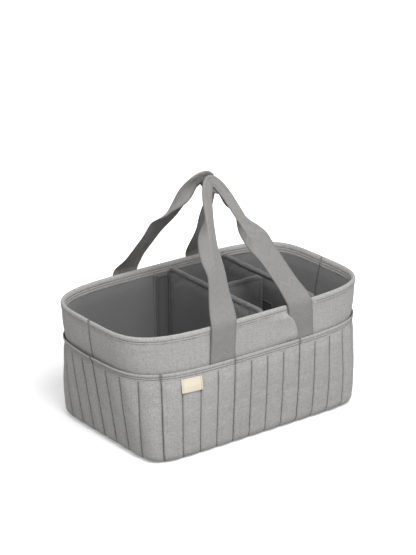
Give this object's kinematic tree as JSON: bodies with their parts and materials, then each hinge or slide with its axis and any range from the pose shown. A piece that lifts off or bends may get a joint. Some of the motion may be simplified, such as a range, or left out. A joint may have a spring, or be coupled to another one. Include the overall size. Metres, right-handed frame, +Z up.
{
  "type": "diaper caddy",
  "caption": "Soft fabric nursery caddy with padded walls, channel-quilted outer pockets, twin webbing handles and lift-out padded dividers.",
  "frame": {"origin": "middle of the base's underside", "axes": "+X along the caddy's length, +Y from front to rear, +Z up"},
  "size_m": [0.4458, 0.2726, 0.379],
  "materials": {
    "canvas": "matt plain weave",
    "quilt": "matt plain weave over wadding",
    "lining": "matt plain weave",
    "webbing": "twill weave",
    "foam": "open foam wadding",
    "board": "smooth board",
    "label": "plain cotton tape",
    "hook_tape": "nylon hook tape",
    "loop_tape": "brushed loop tape"
  },
  "bodies": {
    "basket": {"base_board": "board", "base_cover": "canvas", "front_cover": "canvas", "rear_cover": "canvas", "front_rim_binding": "canvas", "rear_rim_binding": "canvas", "front_pocket_hem": "canvas", "rear_pocket_hem": "canvas", "base_lining": "lining", "front_lining": "lining", "rear_lining": "lining", "front_padding": "foam", "rear_padding": "foam", "left_padding": "foam", "right_padding": "foam", "left_front_pocket": "quilt", "right_rear_pocket": "quilt", "front_left_pocket": "quilt", "rear_right_pocket": "quilt", "front_middle_pocket": "quilt", "rear_middle_pocket": "quilt", "front_right_pocket": "quilt", "rear_left_pocket": "quilt", "right_front_pocket": "quilt", "left_rear_pocket": "quilt", "side_label": "label", "front_left_webbing_end": "webbing", "rear_right_webbing_end": "webbing", "front_right_webbing_end": "webbing", "rear_left_webbing_end": "webbing", "centre_divider_front_loop_strip": "loop_tape", "centre_divider_rear_loop_strip": "loop_tape", "end_divider_front_loop_strip": "loop_tape", "end_divider_rear_loop_strip": "loop_tape"},
    "front_handle": {"front_handle": "webbing"},
    "rear_handle": {"rear_handle": "webbing"},
    "centre_divider": {"centre_divider_sleeve": "lining", "centre_divider_core": "foam", "centre_divider_front_tab": "hook_tape", "centre_divider_rear_tab": "hook_tape", "centre_divider_face_loop_strip": "loop_tape"},
    "end_divider": {"end_divider_sleeve": "lining", "end_divider_core": "foam", "end_divider_front_tab": "hook_tape", "end_divider_rear_tab": "hook_tape", "end_divider_face_loop_strip": "loop_tape"},
    "lengthwise_divider": {"lengthwise_divider_sleeve": "lining", "lengthwise_divider_core": "foam", "lengthwise_divider_left_tab": "hook_tape", "lengthwise_divider_right_tab": "hook_tape"}
  },
  "joints": [
    {"name": "front_handle_fold", "type": "hinge", "parent": "basket", "child": "front_handle", "pos_m": [0, -0.131, 0.148], "axis": [1, 0, 0], "range_deg": [0, 140]},
    {"name": "rear_handle_fold", "type": "hinge", "parent": "basket", "child": "rear_handle", "pos_m": [0, 0.131, 0.148], "axis": [-1, 0, 0], "range_deg": [0, 140]},
    {"name": "centre_divider_lift", "type": "slide", "parent": "basket", "child": "centre_divider", "axis": [0, 0, 1], "range_m": [0, 0.12]},
    {"name": "lengthwise_divider_lift", "type": "slide", "parent": "basket", "child": "lengthwise_divider", "axis": [0, 0, 1], "range_m": [0, 0.17]},
    {"name": "end_divider_lift", "type": "slide", "parent": "basket", "child": "end_divider", "axis": [0, 0, 1], "range_m": [0, 0.195]}
  ]
}
